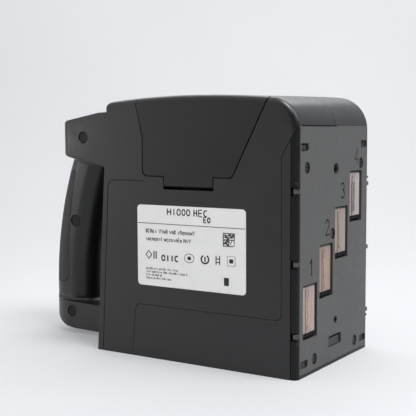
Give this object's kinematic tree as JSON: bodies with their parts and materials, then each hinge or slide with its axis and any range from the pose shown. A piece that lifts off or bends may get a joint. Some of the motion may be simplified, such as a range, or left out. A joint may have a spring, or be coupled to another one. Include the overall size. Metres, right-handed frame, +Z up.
{
  "type": "date code inkjet printer",
  "caption": "Handheld inkjet coder with a D handle, a staircase of ink cartridges behind a print plate, a hinged cartridge lid, a screen, buttons and a port flap.",
  "frame": {"origin": "on the flat standing face, in the plane between the two sides, half the printer's length behind the print face", "axes": "+X out of the print face, +Y out of the screen side, +Z up; the label side faces -Y and the handle is at -X"},
  "size_m": [0.2623, 0.1216, 0.199],
  "materials": {
    "housing_black": "fine spark-eroded texture, satin black",
    "lid_black": "fine spark-eroded texture, satin black",
    "nose_black": "smooth satin black",
    "plate_grey": "satin dark grey, fine texture",
    "screw_black": "black oxide",
    "screw_steel": "zinc plated",
    "pin_steel": "ground steel",
    "bracket_steel": "rolled steel",
    "magnet_nickel": "nickel plated",
    "label_white": null,
    "carrier_black": "smooth black",
    "cartridge_shell": "smooth dark plastic tank",
    "nozzle_foil": "amber foil with a dark nozzle die",
    "lever_grey": "smooth grey",
    "ribbon_amber": "amber polyimide",
    "board_green": "green solder mask",
    "chip_black": "moulded black",
    "battery_blue": "blue shrink wrap",
    "metal_can": "pressed metal can",
    "screen_glass": "black cover glass",
    "button_grey": "smooth dark grey",
    "jack_black": "moulded black",
    "rubber_black": "matte rubber",
    "handle_black": "fine spark-eroded texture, satin black",
    "grip_black": "soft-touch overmould",
    "plug_black": "smooth black"
  },
  "bodies": {
    "housing": {"base_skirt": "housing_black", "battery_pack": "battery_blue", "battery_tray": "nose_black", "board_chips": "chip_black", "board_posts": "nose_black", "board_screws": "screw_steel", "carrier_screws": "screw_steel", "cartridge_carrier": "carrier_black", "contact_board_1": "board_green", "contact_board_2": "board_green", "contact_board_3": "board_green", "contact_board_4": "board_green", "dc_jack": "jack_black", "display_module": "metal_can", "dock_clip": "nose_black", "handle_brackets": "bracket_steel", "handle_far_shell": "handle_black", "handle_mount_screws": "screw_steel", "handle_near_shell": "handle_black", "handle_plugs": "plug_black", "handle_screws": "screw_steel", "label_side_shell": "housing_black", "latch_pins": "pin_steel", "lid_catch_plate": "screw_black", "lid_hinge_pin": "pin_steel", "main_board": "board_green", "nose_frame": "nose_black", "plate_screws": "screw_black", "port_flap_pin": "pin_steel", "power_switch": "board_green", "print_plate": "plate_grey", "print_switch": "jack_black", "rating_label": "label_white", "rear_grip_pad": "grip_black", "ribbon_cables": "ribbon_amber", "screen_side_shell": "housing_black", "shell_screws": "screw_steel", "touch_glass": "screen_glass", "usb_port": "metal_can"},
    "lid": {"cartridge_lid": "lid_black", "lid_magnet": "magnet_nickel"},
    "print_button": {"print_button": "button_grey"},
    "power_button": {"power_button": "button_grey"},
    "port_flap": {"port_flap": "rubber_black"},
    "cartridge_1": {"cartridge_1": "cartridge_shell", "nozzle_plate_1": "nozzle_foil"},
    "latch_1": {"latch_lever_1": "lever_grey"},
    "cartridge_2": {"cartridge_2": "cartridge_shell", "nozzle_plate_2": "nozzle_foil"},
    "latch_2": {"latch_lever_2": "lever_grey"},
    "cartridge_3": {"cartridge_3": "cartridge_shell", "nozzle_plate_3": "nozzle_foil"},
    "latch_3": {"latch_lever_3": "lever_grey"},
    "cartridge_4": {"cartridge_4": "cartridge_shell", "nozzle_plate_4": "nozzle_foil"},
    "latch_4": {"latch_lever_4": "lever_grey"}
  },
  "joints": [
    {"name": "lid_hinge", "type": "hinge", "parent": "housing", "child": "lid", "pos_m": [0.048, 0.0515, 0.195], "axis": [-1, 0, 0], "range_deg": [0, 76]},
    {"name": "print_button_press", "type": "slide", "parent": "housing", "child": "print_button", "axis": [1, 0, 0], "range_m": [0, 0.0018], "stiffness_N_per_m": 700, "springref_m": -0.001},
    {"name": "power_button_press", "type": "slide", "parent": "housing", "child": "power_button", "axis": [0, -1, 0], "range_m": [0, 0.0012], "stiffness_N_per_m": 600, "springref_m": -0.001},
    {"name": "port_flap_hinge", "type": "hinge", "parent": "housing", "child": "port_flap", "pos_m": [-0.04045, 0.041, 0.02018], "axis": [0, -1, 0], "range_deg": [0, 85]},
    {"name": "latch_1_hinge", "type": "hinge", "parent": "housing", "child": "latch_1", "pos_m": [0.066, -0.0404, 0.08], "axis": [0, 1, 0], "range_deg": [0, 70]},
    {"name": "cartridge_1_slide", "type": "slide", "parent": "housing", "child": "cartridge_1", "axis": [-1, 0, 0], "range_m": [0, 0.00488]},
    {"name": "latch_2_hinge", "type": "hinge", "parent": "housing", "child": "latch_2", "pos_m": [0.066, -0.0149, 0.1054], "axis": [0, 1, 0], "range_deg": [0, 70]},
    {"name": "cartridge_2_slide", "type": "slide", "parent": "housing", "child": "cartridge_2", "axis": [-1, 0, 0], "range_m": [0, 0.00488]},
    {"name": "latch_3_hinge", "type": "hinge", "parent": "housing", "child": "latch_3", "pos_m": [0.066, 0.0106, 0.1308], "axis": [0, 1, 0], "range_deg": [0, 70]},
    {"name": "cartridge_3_slide", "type": "slide", "parent": "housing", "child": "cartridge_3", "axis": [-1, 0, 0], "range_m": [0, 0.00488]},
    {"name": "latch_4_hinge", "type": "hinge", "parent": "housing", "child": "latch_4", "pos_m": [0.066, 0.0361, 0.1562], "axis": [0, 1, 0], "range_deg": [0, 70]},
    {"name": "cartridge_4_slide", "type": "slide", "parent": "housing", "child": "cartridge_4", "axis": [-1, 0, 0], "range_m": [0, 0.00488]}
  ],
  "couplings": [
    {"joint": "latch_1_hinge", "follows": "cartridge_1_slide", "rad_per_m": 250},
    {"joint": "latch_2_hinge", "follows": "cartridge_2_slide", "rad_per_m": 250},
    {"joint": "latch_3_hinge", "follows": "cartridge_3_slide", "rad_per_m": 250},
    {"joint": "latch_4_hinge", "follows": "cartridge_4_slide", "rad_per_m": 250}
  ]
}
